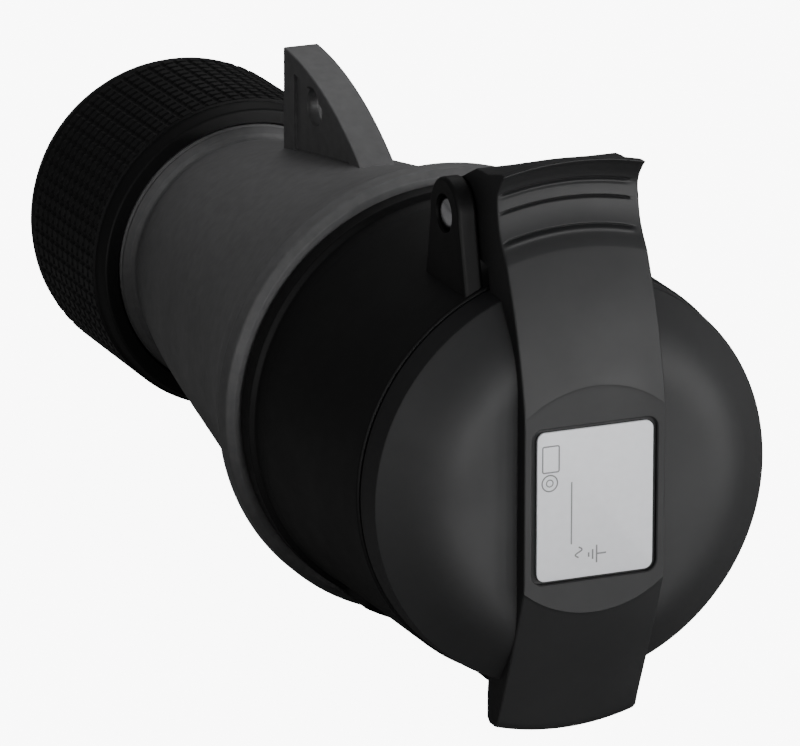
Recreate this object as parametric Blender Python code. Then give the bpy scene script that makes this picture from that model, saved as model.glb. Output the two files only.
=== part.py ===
"""Industrial cable coupler: a pin-and-sleeve connector with a sprung lid and a cable gland.

Every length below is in millimetres. The coupler's own axis is Y: the lid faces -Y,
the gland nut is at +Y, and the hinge and the hanging lug are on top, at +Z.
The assembly hangs from the empty coupler_axis, which puts the origin of the part
under the middle of its bounding box.
"""

import math

import bmesh
import bpy

MM = 0.001

# Overall placing of the coupler axis
AXIS_Y = -37.5
AXIS_Z = 46.0

# Joint plane between the two housings
FLANGE_R = 41.85
FLANGE_BACK_Y = 8.6
FLANGE_FRONT_Y = 0.3

# Rear housing
BODY_WALL = 2.9
NECK_R = 24.3
NECK_BORE_R = 20.0
NECK_END_Y = 119.2
COLLAR_R = 26.3
COLLAR_Y = 94.4
LUG_HALF = 3.5
LUG_TOP = (67.6, 48.4)
LUG_FOOT = (32.4, 35.6)
LUG_ARC_R = 72.0
LUG_EYE = (54.0, 40.2)
LUG_EYE_R = 3.4
LUG_WEB = (-2.95, -0.62)
LUG_RECESS = ((36.0, 34.9), (62.2, 44.6))

# Front housing
SHROUD_R_FRONT = 37.7
SHROUD_R_BACK = 38.2
SHROUD_BORE_R = 35.6
SHROUD_RIM_Y = -50.0
COLLAR_RING_R = 39.5
WEB_FRONT_Y = -8.0
WEB_BACK_Y = -4.4
WEB_HOLE_R = 24.6
SPIGOT_R = 36.6
SPIGOT_BORE_R = 33.4
SPIGOT_END_Y = 6.0
BOSS_R = 40.0
FOOT_HALF = 7.0
FOOT_Z = -42.3
KEYWAY_HALF = 4.0
KEYWAY_Z = -39.8

# Hinge
PIN_Y = -40.1
PIN_Z = 46.3
PIN_R = 1.9
PIN_HOLE_R = 2.25
EAR_IN = 13.6
EAR_OUT = 17.2
EAR_R = 6.4
BARREL_R = 6.1

# Lid
LID_R = 37.3
LID_RIM_Y = -50.4
BAND_HALF = 13.2
BAND_APEX_Y = -68.5
BAND_APEX_Z = 3.0
BAND_CURVE = 160.0
BAND_FLAT_Y = -66.4
BAND_FALL = 0.455
DISC_R = 20.5
TAB_R = 58.3
NOSE_R = 46.0
LABEL_HALF = 11.26
LABEL_TOP = 13.12
LABEL_BOTTOM = -13.85
LABEL_GAP = 0.5

# Contacts
PITCH_R = 18.0
EARTH_ANGLE = -60.0
INSERT_R = 30.5
INSERT_FACE_Y = -48.0
SLEEVE_FRONT_Y = -46.0
TERMINAL_END_Y = 14.0

# Gland
NUT_R = 30.55
NUT_FRONT_Y = 94.6
NUT_END_Y = 141.5
NUT_BORE_R = 24.9
NUT_MOUTH_R = 13.8

AXIS = None


def clear_scene():
    for obj in list(bpy.data.objects):
        bpy.data.objects.remove(obj, do_unlink=True)


def plastic(name, colour, roughness, metallic=0.0):
    material = bpy.data.materials.new(name)
    material.use_nodes = True
    shader = material.node_tree.nodes["Principled BSDF"]
    shader.inputs["Base Color"].default_value = (*colour, 1.0)
    shader.inputs["Roughness"].default_value = roughness
    shader.inputs["Metallic"].default_value = metallic
    return material


def place(bm, name, material=None, origin=(0.0, 0.0, 0.0), smooth=True):
    """Turns a bmesh in metres into an object whose origin is at a point given in millimetres."""
    bmesh.ops.translate(bm, verts=bm.verts, vec=[-c * MM for c in origin])
    bmesh.ops.recalc_face_normals(bm, faces=bm.faces)
    mesh = bpy.data.meshes.new(name)
    bm.to_mesh(mesh)
    bm.free()
    if smooth:
        mesh.shade_smooth()
        mesh.set_sharp_from_angle(angle=math.radians(32))
    obj = bpy.data.objects.new(name, mesh)
    obj.location = [c * MM for c in origin]
    obj.parent = AXIS
    bpy.context.scene.collection.objects.link(obj)
    if material is not None:
        mesh.materials.append(material)
    return obj


def turned(profile, steps, turn=0.0):
    """A closed profile of (radius, y) points spun about the Y axis."""
    bm = bmesh.new()
    start = [
        bm.verts.new((r * MM * math.cos(turn), y * MM, r * MM * math.sin(turn)))
        for r, y in profile
    ]
    edges = []
    for i, vert in enumerate(start):
        j = (i + 1) % len(start)
        if profile[i][0] > 0 or profile[j][0] > 0:
            edges.append(bm.edges.new((vert, start[j])))
    bmesh.ops.spin(
        bm,
        geom=start + edges,
        cent=(0, 0, 0),
        axis=(0, 1, 0),
        angle=2 * math.pi,
        steps=steps,
    )
    bmesh.ops.remove_doubles(bm, verts=bm.verts, dist=2e-6)
    return bm


def loft(stations):
    """Closed solid through equal-length loops of (x, y, z) points."""
    bm = bmesh.new()
    rows = [[bm.verts.new([c * MM for c in p]) for p in loop] for loop in stations]
    count = len(rows[0])
    for a, b in zip(rows, rows[1:]):
        for i in range(count):
            j = (i + 1) % count
            bm.faces.new((a[i], a[j], b[j], b[i]))
    bm.faces.new(rows[0])
    bm.faces.new(rows[-1])
    bm.normal_update()
    if len(rows) > 2:
        bmesh.ops.triangulate(bm, faces=bm.faces)
    return bm


def prism_x(outline, low, high):
    """Outline of (y, z) points pushed along X."""
    return loft([[(x, y, z) for y, z in outline] for x in (low, high)])


def prism_y(outline, low, high):
    """Outline of (x, z) points pushed along Y."""
    return loft([[(x, y, z) for x, z in outline] for y in (low, high)])


def block(low, high):
    return prism_y(
        [(low[0], low[2]), (high[0], low[2]), (high[0], high[2]), (low[0], high[2])],
        low[1],
        high[1],
    )


def circle(radius, steps, centre=(0.0, 0.0), turn=0.0):
    return [
        (
            centre[0] + radius * math.cos(turn + 2 * math.pi * i / steps),
            centre[1] + radius * math.sin(turn + 2 * math.pi * i / steps),
        )
        for i in range(steps)
    ]


def arc(centre, radius, start, end, steps):
    """Points on an arc, its angles in degrees."""
    return [
        (
            centre[0] + radius * math.cos(math.radians(start + (end - start) * i / steps)),
            centre[1] + radius * math.sin(math.radians(start + (end - start) * i / steps)),
        )
        for i in range(steps + 1)
    ]


def arc_between(a, b, radius, steps):
    """Points from a to b on the arc of this radius that bulges to the left of a-b."""
    mx, my = (a[0] + b[0]) / 2, (a[1] + b[1]) / 2
    dx, dy = b[0] - a[0], b[1] - a[1]
    half = math.hypot(dx, dy) / 2
    reach = math.sqrt(radius * radius - half * half)
    cx, cy = mx + dy / (2 * half) * reach, my - dx / (2 * half) * reach
    start = math.atan2(a[1] - cy, a[0] - cx)
    sweep = math.atan2(b[1] - cy, b[0] - cx) - start
    sweep = (sweep + math.pi) % (2 * math.pi) - math.pi
    return [
        (
            cx + radius * math.cos(start + sweep * i / steps),
            cy + radius * math.sin(start + sweep * i / steps),
        )
        for i in range(steps + 1)
    ]


def helper(bm, name):
    obj = place(bm, name, smooth=False)
    obj.hide_render = True
    obj.display_type = "WIRE"
    return obj


def combine(target, bm, name, operation):
    other = helper(bm, name)
    modifier = target.modifiers.new(name, "BOOLEAN")
    modifier.operation = operation
    modifier.object = other
    modifier.solver = "EXACT"


def cut(target, bm, name):
    combine(target, bm, name, "DIFFERENCE")


def join(target, bm, name):
    combine(target, bm, name, "UNION")


def body_radius(y):
    """Outer radius of the handle part: a flare into the flange, a straight taper, then a rounded end."""
    if y >= 91.8:
        return 24.05
    back = 91.8 - y
    rounding = 1.65 * (1 - math.exp(-back / 12.0))
    flare = 2.05 * math.exp(-(y - 12.0) / 8.0)
    return 24.05 + 0.145 * back + rounding + flare


def rear_housing(material):
    stations = [11.0, 15.0, 21.0, 32.0, 46.0, 62.0, 78.0, 91.6]
    outer = [(40.4, FLANGE_FRONT_Y), (41.4, 0.8), (FLANGE_R, 1.6), (FLANGE_R, 4.9), (40.9, 6.6), (40.0, FLANGE_BACK_Y)]
    outer += [(body_radius(y), y) for y in stations]
    outer += [
        (24.9, 93.0),
        (COLLAR_R, COLLAR_Y),
        (COLLAR_R, 97.0),
        (NECK_R, 97.4),
        (NECK_R, 118.4),
        (23.5, NECK_END_Y),
    ]
    inner = [
        (NECK_BORE_R, NECK_END_Y),
        (NECK_BORE_R, 97.6),
        (17.0, 97.6),
        (17.0, 94.0),
        (20.2, 91.0),
    ]
    inner += [
        (min(body_radius(y) - BODY_WALL, 33.0), y) for y in (86.0, 70.0, 54.0, 36.0, 24.0)
    ]
    inner += [(33.0, 18.0), (33.0, 8.3), (36.9, 8.3), (36.9, 0.3)]
    body = place(turned(outer + inner, 48), "rear_housing", material)
    front = arc_between(LUG_FOOT, LUG_TOP, LUG_ARC_R, 8)
    lug = front + [(LUG_TOP[0], 27.7), (50.0, 30.4), (31.4, 33.0)]
    join(body, prism_x(lug, *LUG_WEB), "lug_web")
    inside = arc_between(*LUG_RECESS, LUG_ARC_R - 2.0, 8)
    border = front + [(LUG_TOP[0], 27.7), (62.3, 28.5)] + inside[::-1] + [(36.0, 32.9), (31.4, 33.0)]
    join(body, prism_x(border, -LUG_HALF, LUG_HALF), "lug_border")
    cut(body, prism_x(circle(LUG_EYE_R, 24, LUG_EYE), -6, 6), "lug_eye_cutter")
    return body


def boss_loop(y, radius):
    outline = arc((0, 0), 36.6, -57, -123, 12)
    outline += arc((0, 0), radius, -121, -59, 12)
    return [(x, y, z) for x, z in outline]


def ear_outline():
    top = arc((PIN_Y, PIN_Z), EAR_R, -10, 180, 12)
    return top + [(-49.6, 33.4), (PIN_Y + EAR_R + 1.6, 33.4)]


def front_housing(material):
    profile = [
        (SHROUD_BORE_R, SHROUD_RIM_Y + 0.3),
        (SHROUD_BORE_R + 0.4, SHROUD_RIM_Y),
        (SHROUD_R_FRONT - 0.4, SHROUD_RIM_Y),
        (SHROUD_R_FRONT, SHROUD_RIM_Y + 0.4),
        (SHROUD_R_BACK, -8.0),
        (SHROUD_R_BACK + 0.1, -5.0),
        (COLLAR_RING_R, -4.0),
        (COLLAR_RING_R, -0.7),
        (COLLAR_RING_R - 0.4, -0.3),
        (SPIGOT_R, -0.3),
        (SPIGOT_R, SPIGOT_END_Y),
        (SPIGOT_BORE_R, SPIGOT_END_Y),
        (SPIGOT_BORE_R, WEB_BACK_Y),
        (WEB_HOLE_R, WEB_BACK_Y),
        (WEB_HOLE_R, WEB_FRONT_Y),
        (SHROUD_BORE_R, WEB_FRONT_Y),
    ]
    body = place(turned(profile, 48), "front_housing", material)
    join(
        body,
        loft([boss_loop(-0.8, BOSS_R), boss_loop(-12.0, BOSS_R), boss_loop(-13.6, SHROUD_R_BACK)]),
        "wide_boss",
    )
    foot = [(-0.8, -36.8), (-0.8, FOOT_Z), (-42.6, FOOT_Z), (-46.0, -38.4), (-46.0, -36.8)]
    join(body, prism_x(foot, -FOOT_HALF, FOOT_HALF), "keyway_boss")
    cut(
        body,
        block((-KEYWAY_HALF, -55.0, KEYWAY_Z), (KEYWAY_HALF, WEB_FRONT_Y, -30.0)),
        "keyway_cutter",
    )
    join(body, prism_x(ear_outline(), EAR_IN, EAR_OUT), "ear_right")
    join(body, prism_x(ear_outline(), -EAR_OUT, -EAR_IN), "ear_left")
    cut(body, prism_x(circle(PIN_HOLE_R, 16, (PIN_Y, PIN_Z)), -20, 20), "pin_hole_cutter")
    for side in (-1, 1):
        hole = circle(1.75, 10, (side * 27.3, 0.0))
        cut(body, prism_y(hole, WEB_FRONT_Y - 2, WEB_BACK_Y + 2), f"web_screw_hole_{side + 2}")
    return body


def contact_places():
    """Centre of each contact and its direction from the axis, the earth contact first."""
    for i in range(5):
        angle = math.radians(EARTH_ANGLE + 72 * i)
        yield PITCH_R * math.cos(angle), PITCH_R * math.sin(angle), angle


def contact_insert(material):
    body = place(
        prism_y(circle(INSERT_R, 40), INSERT_FACE_Y, WEB_FRONT_Y - 0.3), "contact_insert", material
    )
    for i, (x, z, _) in enumerate(contact_places()):
        radius = 5.7 if i == 0 else 4.6
        cut(body, prism_y(circle(radius, 18, (x, z)), -60, 0), f"sleeve_hole_{i}")
    cut(body, prism_y(circle(8.0, 18), -40, 0), "core_cutter")
    for side in (-1, 1):
        cut(body, prism_y(circle(1.75, 10, (side * 27.3, 0.0)), -21, 0), f"insert_screw_hole_{side + 2}")
    return body


def insert_back_plate(material):
    body = place(prism_y(circle(32.9, 36), -4.1, -0.6), "insert_back_plate", material)
    for i, (x, z, _) in enumerate(contact_places()):
        radius = 5.7 if i == 0 else 4.6
        cut(body, prism_y(circle(radius, 18, (x, z)), -6, 2), f"plate_hole_{i}")
    for side in (-1, 1):
        cut(body, prism_y(circle(1.75, 10, (side * 27.3, 0.0)), -6, 2), f"plate_screw_hole_{side + 2}")
    return body


def along_radius(bm, x, z, angle, y):
    """Moves a solid turned about Y so that its axis points away from the coupler axis."""
    rotate = [
        [math.cos(angle + math.pi / 2), math.cos(angle), 0],
        [0, 0, 1],
        [math.sin(angle + math.pi / 2), math.sin(angle), 0],
    ]
    for vert in bm.verts:
        p = vert.co.copy()
        vert.co = [
            rotate[0][0] * p.x + rotate[0][1] * p.y + x * MM,
            p.z + y * MM,
            rotate[2][0] * p.x + rotate[2][1] * p.y + z * MM,
        ]
    return bm


def contacts(brass, steel):
    names = ["contact_earth", "contact_l1", "contact_l2", "contact_l3", "contact_n"]
    for i, (x, z, angle) in enumerate(contact_places()):
        bore, outer, terminal = (4.15, 5.35, 6.6) if i == 0 else (3.15, 4.25, 5.8)
        profile = [
            (0, -14.0),
            (bore, -14.0),
            (bore, SLEEVE_FRONT_Y + 0.5),
            (bore + 0.4, SLEEVE_FRONT_Y),
            (outer - 0.3, SLEEVE_FRONT_Y),
            (outer, SLEEVE_FRONT_Y + 0.5),
            (outer, -0.2),
            (terminal, -0.2),
            (terminal, TERMINAL_END_Y),
            (3.2, TERMINAL_END_Y),
            (2.9, TERMINAL_END_Y - 0.5),
            (2.9, 2.0),
            (0, 2.0),
        ]
        bm = turned(profile, 16)
        bmesh.ops.translate(bm, verts=bm.verts, vec=(x * MM, 0, z * MM))
        sleeve = place(bm, names[i], brass, origin=(x, 0, z))
        hole = turned([(0, 0.4), (2.1, 0.4), (2.1, 12.0), (0, 12.0)], 12)
        cut(sleeve, along_radius(hole, x, z, angle, 8.0), f"screw_hole_{i}")
        head = terminal + 0.4
        screw = turned(
            [(0, 1.0), (1.2, 1.0), (1.7, 1.6), (1.7, head), (2.8, head), (2.8, head + 1.6), (2.4, head + 2.0), (0, head + 2.0)],
            12,
        )
        item = place(
            along_radius(screw, x, z, angle, 8.0), f"terminal_screw_{i + 1}", steel, origin=(x, 8.0, z)
        )
        slot = block((-4.0, head + 1.2, -0.45), (4.0, head + 4.0, 0.45))
        cut(item, along_radius(slot, x, z, angle, 8.0), f"screw_slot_{i}")


def insert_screws(steel):
    for side, name in ((-1, "insert_screw_left"), (1, "insert_screw_right")):
        bm = turned(
            [(0, -20.0), (0.8, -20.0), (1.4, -19.0), (1.4, -0.2), (2.6, -0.2), (2.6, 1.2), (2.1, 1.7), (0, 1.7)],
            12,
        )
        bmesh.ops.translate(bm, verts=bm.verts, vec=(side * 27.3 * MM, 0, 0))
        screw = place(bm, name, steel, origin=(side * 27.3, 0, 0))
        for i, (w, h) in enumerate(((1.7, 0.35), (0.35, 1.7))):
            slot = block((side * 27.3 - w, 0.9, -h), (side * 27.3 + w, 3.0, h))
            cut(screw, slot, f"{name}_slot_{i}")


def band_front(x, z):
    """Front face of the lid's band: a flat disc, crowned above it and falling away below it."""
    out = math.hypot(x, z) - DISC_R
    if out < 0:
        return BAND_FLAT_Y
    if z < 0:
        return BAND_FLAT_Y + 0.14 + BAND_FALL * out
    crown = BAND_APEX_Y + ((z - BAND_APEX_Z) ** 2 + x * x) / BAND_CURVE
    return max(crown, BAND_FLAT_Y)


LID_OUTSIDE = [(0, -63.7), (20.0, -63.65), (24.5, -63.3), (28.5, -62.0), (33.0, -59.4), (37.0, -56.2)]
LID_INSIDE = [(0, -61.4), (15.0, -61.0), (26.0, -59.6), (31.0, -57.6), (33.2, -55.0)]


def along(profile, r, otherwise):
    """Y of a profile of (radius, y) points at this radius."""
    for (r0, y0), (r1, y1) in zip(profile, profile[1:]):
        if r0 <= r <= r1:
            return y0 + (y1 - y0) * (r - r0) / (r1 - r0)
    return otherwise


def wall_y(r):
    """Middle of the lid's wall at this radius."""
    return (along(LID_INSIDE, r, -52.4) + along(LID_OUTSIDE, r, -56.2)) / 2


def band_loop(x):
    top = math.sqrt(TAB_R**2 - x * x)
    low = -math.sqrt(NOSE_R**2 - x * x)
    skirt = math.sqrt(36.8**2 - x * x)
    loop = [(-51.7, low), (-54.1, low), (-54.8, low + 0.9)]
    loop += [(band_front(x, z), z) for z in (-40, -34, -28, -22, -15.4, 21.3, 27, 33, 38, 42, 43.4)]
    loop += [(-56.3, 46.2), (-55.3, 49.0), (-54.6, 52.5), (-54.7, 54.2), (-57.0, top - 0.3), (-56.7, top), (-55.2, top)]
    loop += [(-50.0, top - 1.4), (-45.0, 55.2)]
    loop += arc((PIN_Y, PIN_Z), BARREL_R, 78, -90, 10)
    loop += [(-50.6, 39.0), (-51.4, skirt), (-54.2, skirt)]
    backs = (31.0, 28.0, 24.5, 20.0, 14.0, 7.0)
    loop += [(wall_y(math.hypot(x, z)), z) for z in (*backs, 0.0, *(-z for z in reversed(backs)))]
    loop += [(-54.2, -skirt), (-51.4, -skirt), (-50.8, -39.0), (-50.8, low + 0.9)]
    return [(x, y, z) for y, z in loop]


def lid(material):
    shell = LID_OUTSIDE + [(LID_R, LID_RIM_Y)]
    shell += [(36.6, LID_RIM_Y), (36.6, -52.4), (33.2, -52.4)] + LID_INSIDE[::-1]
    origin = (0, PIN_Y, PIN_Z)
    body = place(turned(shell, 48, math.pi / 48), "lid", material, origin=origin)
    join(body, loft([band_loop(-BAND_HALF + 2 * BAND_HALF * i / 6) for i in range(7)]), "band")
    pocket = (LABEL_HALF + LABEL_GAP, LABEL_TOP + LABEL_GAP, LABEL_BOTTOM - LABEL_GAP)
    cut(
        body,
        block((-pocket[0], -70.0, pocket[2]), (pocket[0], -65.6, pocket[1])),
        "label_pocket_cutter",
    )
    cut(body, prism_x(circle(PIN_HOLE_R, 16, (PIN_Y, PIN_Z)), -20, 20), "barrel_bore_cutter")
    cut(body, block((-4.8, -48.2, 35.9), (4.8, -29.0, 60.0)), "spring_slot_cutter")
    cut(body, block((2.55, -52.0, 49.25), (5.35, -47.1, 61.0)), "spring_leg_cutter")
    return body


def lid_label(material):
    r = 1.5
    corners = [
        (LABEL_HALF - r, LABEL_TOP - r, 0),
        (-LABEL_HALF + r, LABEL_TOP - r, 90),
        (-LABEL_HALF + r, LABEL_BOTTOM + r, 180),
        (LABEL_HALF - r, LABEL_BOTTOM + r, 270),
    ]
    outline = []
    for cx, cz, start in corners:
        outline += arc((cx, cz), r, start, start + 90, 4)
    return place(prism_y(outline, -66.5, -65.9), "lid_label", material)


def hinge_pin(material):
    bm = turned(
        [(0, -16.9), (1.2, -16.9), (PIN_R, -16.4), (PIN_R, 16.4), (1.2, 16.9), (0, 16.9)],
        16,
    )
    for vert in bm.verts:
        p = vert.co.copy()
        vert.co = (p.y, p.x + PIN_Y * MM, p.z + PIN_Z * MM)
    return place(bm, "hinge_pin", material, origin=(0, PIN_Y, PIN_Z))


def lid_spring(material):
    """Torsion coil round the pin, one leg on the lid and one on the shroud."""
    radius, wire, turns, steps = 3.9, 0.6, 4.25, 16
    half = 3.7
    points = [(half, -51.4, PIN_Z + radius), (half, -46.0, PIN_Z + radius)]
    count = int(turns * steps)
    for i in range(count + 1):
        angle = math.radians(90) - 2 * math.pi * turns * i / count
        x = half - 2 * half * i / count
        points.append((x, PIN_Y + radius * math.cos(angle), PIN_Z + radius * math.sin(angle)))
    last = points[-1]
    points.append((last[0], last[1], last[2] - 3.0))
    points.append((last[0], last[1], 38.6))
    curve = bpy.data.curves.new("lid_spring", "CURVE")
    curve.dimensions = "3D"
    curve.bevel_depth = wire * MM
    curve.bevel_resolution = 1
    curve.use_fill_caps = True
    spline = curve.splines.new("POLY")
    spline.points.add(len(points) - 1)
    for point, (x, y, z) in zip(spline.points, points):
        point.co = (x * MM, (y - PIN_Y) * MM, (z - PIN_Z) * MM, 1.0)
    curve.materials.append(material)
    obj = bpy.data.objects.new("lid_spring", curve)
    obj.location = (0, PIN_Y * MM, PIN_Z * MM)
    obj.parent = AXIS
    bpy.context.scene.collection.objects.link(obj)
    return obj


def ring(name, material, inner, outer, low, high, steps, chamfer=0.3):
    profile = [
        (inner, low),
        (outer - chamfer, low),
        (outer, low + chamfer),
        (outer, high - chamfer),
        (outer - chamfer, high),
        (inner, high),
    ]
    return place(turned(profile, steps), name, material)


def gland_nut(material):
    profile = [
        (26.7, NUT_FRONT_Y),
        (29.5, NUT_FRONT_Y),
        (30.3, NUT_FRONT_Y + 0.9),
        (NUT_R, 98.4),
        (NUT_R, 132.4),
        (29.5, 135.2),
        (28.2, 138.2),
        (26.3, NUT_END_Y),
        (15.6, NUT_END_Y),
        (NUT_MOUTH_R, 139.7),
        (NUT_MOUTH_R, 132.3),
        (22.0, 132.3),
        (NUT_BORE_R, 127.5),
        (NUT_BORE_R, 98.7),
        (26.7, 98.3),
    ]
    return place(turned(profile, 40), "gland_nut", material)


def clamp_cage(material):
    cage = ring("clamp_cage", material, 16.6, 19.6, 98.0, 129.8, 32, 0.4)
    for i in range(4):
        angle = math.radians(22.5 + 45 * i)
        slot = block((-24.0, 106.0, -1.7), (24.0, 132.0, 1.7))
        for vert in slot.verts:
            x, z = vert.co.x, vert.co.z
            vert.co.x = x * math.cos(angle) - z * math.sin(angle)
            vert.co.z = x * math.sin(angle) + z * math.cos(angle)
        cut(cage, slot, f"cage_slot_{i}")
    return cage


def main():
    global AXIS
    clear_scene()
    AXIS = bpy.data.objects.new("coupler_axis", None)
    AXIS.location = (0, AXIS_Y * MM, AXIS_Z * MM)
    bpy.context.scene.collection.objects.link(AXIS)

    grey = plastic("grey_plastic", (0.062, 0.062, 0.064), 0.5)
    black = plastic("black_plastic", (0.006, 0.006, 0.0065), 0.42)
    charcoal = plastic("charcoal_plastic", (0.014, 0.014, 0.0155), 0.36)
    insert = plastic("insert_plastic", (0.03, 0.03, 0.032), 0.5)
    rubber = plastic("seal_rubber", (0.012, 0.012, 0.012), 0.7)
    pale = plastic("label_plate", (0.6, 0.61, 0.65), 0.38)
    brass = plastic("brass", (0.72, 0.52, 0.24), 0.3, 1.0)
    steel = plastic("steel", (0.6, 0.6, 0.61), 0.28, 1.0)
    nylon = plastic("nylon", (0.3, 0.3, 0.29), 0.5)

    rear_housing(grey)
    front_housing(black)
    contact_insert(insert)
    insert_back_plate(insert)
    contacts(brass, steel)
    insert_screws(steel)
    ring("body_seal", rubber, 33.8, 36.5, 6.3, 8.0, 32)
    lid(charcoal)
    lid_label(pale)
    ring("lid_gasket", rubber, 33.6, 36.25, -52.1, -50.35, 32)
    hinge_pin(steel)
    lid_spring(steel)
    gland_nut(black)
    ring("thrust_washer", nylon, 14.2, 21.4, 130.3, 131.9, 32, 0.3)
    ring("cable_seal", rubber, 11.0, 16.2, 99.0, 124.0, 32, 0.8)
    clamp_cage(nylon)


main()
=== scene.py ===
import math

import bmesh
import bpy
import numpy as np
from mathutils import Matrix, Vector

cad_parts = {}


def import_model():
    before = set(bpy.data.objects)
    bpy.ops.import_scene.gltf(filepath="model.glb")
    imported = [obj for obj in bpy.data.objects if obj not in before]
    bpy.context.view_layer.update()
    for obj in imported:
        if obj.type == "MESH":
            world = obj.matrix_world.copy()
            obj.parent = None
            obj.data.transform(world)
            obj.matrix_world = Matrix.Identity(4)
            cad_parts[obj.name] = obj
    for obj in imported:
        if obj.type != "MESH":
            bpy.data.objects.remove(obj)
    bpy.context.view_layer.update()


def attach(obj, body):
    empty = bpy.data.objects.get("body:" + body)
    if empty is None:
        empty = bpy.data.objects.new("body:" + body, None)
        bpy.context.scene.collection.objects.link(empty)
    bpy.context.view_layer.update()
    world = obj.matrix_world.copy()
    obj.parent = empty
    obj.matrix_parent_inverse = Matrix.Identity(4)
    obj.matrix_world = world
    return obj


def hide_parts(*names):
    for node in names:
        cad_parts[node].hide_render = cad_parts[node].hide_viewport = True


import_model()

# The coupler's own axis is Y at this place in the frame, in millimetres.
AXIS_Y, AXIS_Z = -37.5, 46.0
PIN = (-40.1, 46.3)


# ---------------------------------------------------------------- mesh helpers


def to_frame(points):
    moved = np.array(points, float).reshape(-1, 3)
    moved[:, 1] += AXIS_Y
    moved[:, 2] += AXIS_Z
    return moved * 0.001


def build(name, points, faces, merge=True):
    """A new object from points in millimetres about the coupler's axis."""
    mesh = bpy.data.meshes.new(name)
    mesh.from_pydata(to_frame(points).tolist(), [], faces)
    bm = bmesh.new()
    bm.from_mesh(mesh)
    if merge:
        bmesh.ops.remove_doubles(bm, verts=bm.verts, dist=2e-6)
    bmesh.ops.recalc_face_normals(bm, faces=bm.faces)
    bm.to_mesh(mesh)
    bm.free()
    obj = bpy.data.objects.new(name, mesh)
    bpy.context.scene.collection.objects.link(obj)
    return obj


def fillet(points, closed=True, most=15.0):
    """Rounds the corners of a 2-D path whose points are (u, v) or (u, v, radius)."""
    out = []
    count = len(points)
    for i, point in enumerate(points):
        here = np.array(point[:2], float)
        radius = point[2] if len(point) > 2 else 0.0
        if radius <= 0 or (not closed and i in (0, count - 1)):
            out.append(tuple(here))
            continue
        before = np.array(points[i - 1][:2], float) - here
        after = np.array(points[(i + 1) % count][:2], float) - here
        long_a, long_b = np.linalg.norm(before), np.linalg.norm(after)
        before, after = before / long_a, after / long_b
        half = math.acos(max(-1.0, min(1.0, float(before @ after)))) / 2
        if half > math.radians(89):
            out.append(tuple(here))
            continue
        reach = min(radius / math.tan(half), 0.48 * long_a, 0.48 * long_b)
        radius = reach * math.tan(half)
        middle = before + after
        centre = here + middle / np.linalg.norm(middle) * radius / math.sin(half)
        start = here + before * reach - centre
        end = here + after * reach - centre
        sweep = math.pi - 2 * half
        steps = max(2, math.ceil(math.degrees(sweep) / most))
        for k in range(steps + 1):
            t = k / steps
            a = math.sin((1 - t) * sweep) / math.sin(sweep)
            b = math.sin(t * sweep) / math.sin(sweep)
            out.append(tuple(centre + a * start + b * end))
    return out


def dense(path, longest, closed=True):
    """Adds points so that no stretch of the path is longer than this."""
    out = []
    count = len(path)
    for i in range(count if closed else count - 1):
        a, b = np.array(path[i]), np.array(path[(i + 1) % count])
        steps = max(1, math.ceil(np.linalg.norm(b - a) / longest))
        out += [tuple(a + (b - a) * k / steps) for k in range(steps)]
    if not closed:
        out.append(tuple(path[-1]))
    return out


def strip_faces(rows, cols, close_rows, close_cols):
    faces = []
    for i in range(rows if close_rows else rows - 1):
        k = (i + 1) % rows
        for j in range(cols if close_cols else cols - 1):
            m = (j + 1) % cols
            faces.append((i * cols + j, k * cols + j, k * cols + m, i * cols + m))
    return faces


def lathe(name, path, steps=192, shape=None, angles=None, closed=True):
    """A path of (radius, y) turned about Y. shape(radius, y, angle) may change the radius and y."""
    if angles is None:
        angles = np.arange(steps) * 2 * math.pi / steps
    radius = np.repeat(np.array(path, float)[:, :1], len(angles), 1)
    y = np.repeat(np.array(path, float)[:, 1:2], len(angles), 1)
    turn = np.repeat(np.array(angles, float)[None, :], len(path), 0)
    if shape is not None:
        radius, y = shape(radius, y, turn)
    points = np.stack([radius * np.cos(turn), y, radius * np.sin(turn)], -1)
    return build(name, points, strip_faces(len(path), len(angles), closed, True))


def loops(name, rings, cap=True):
    """A closed skin through equal loops of points, its ends capped."""
    count = len(rings[0])
    points = np.concatenate([np.array(r, float).reshape(-1, 3) for r in rings])
    faces = strip_faces(len(rings), count, False, True)
    if cap:
        faces.append(tuple(range(count)))
        faces.append(tuple(range((len(rings) - 1) * count, len(rings) * count)))
    return build(name, points, faces)


def outward(path):
    """Unit normals of a closed 2-D loop, pointing out of it."""
    p = np.array(path, float)
    along = np.roll(p, -1, 0) - np.roll(p, 1, 0)
    area = np.sum(p[:, 0] * np.roll(p[:, 1], -1) - np.roll(p[:, 0], -1) * p[:, 1])
    normal = np.stack([along[:, 1], -along[:, 0]], -1) * (1 if area > 0 else -1)
    return normal / np.maximum(np.linalg.norm(normal, axis=1, keepdims=True), 1e-9)


def round_ends(half, radius, middle=1, steps=5):
    """(position, inset) of stations across a prism with rounded edges."""
    rows = [
        (half - radius * (1 - math.sin(k * math.pi / 2 / steps)), radius * (1 - math.cos(k * math.pi / 2 / steps)))
        for k in range(steps + 1)
    ]
    inner = half - radius
    flat = [(-inner + 2 * inner * k / middle, 0.0) for k in range(middle + 1)]
    return [(-x, d) for x, d in reversed(rows[1:])] + flat + rows[1:]


def plate_x(name, outline, low, high, radius, middle=1, steps=4):
    """A plate lying across X with this (y, z) outline and rounded edges."""
    path = np.array(outline, float)
    normal = outward(path)
    centre, half = (low + high) / 2, (high - low) / 2
    rings = []
    for x, inset in round_ends(half, radius, middle, steps):
        flat = path - normal * inset
        rings.append(np.stack([np.full(len(flat), centre + x), flat[:, 0], flat[:, 1]], -1))
    return loops(name, rings)


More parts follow.
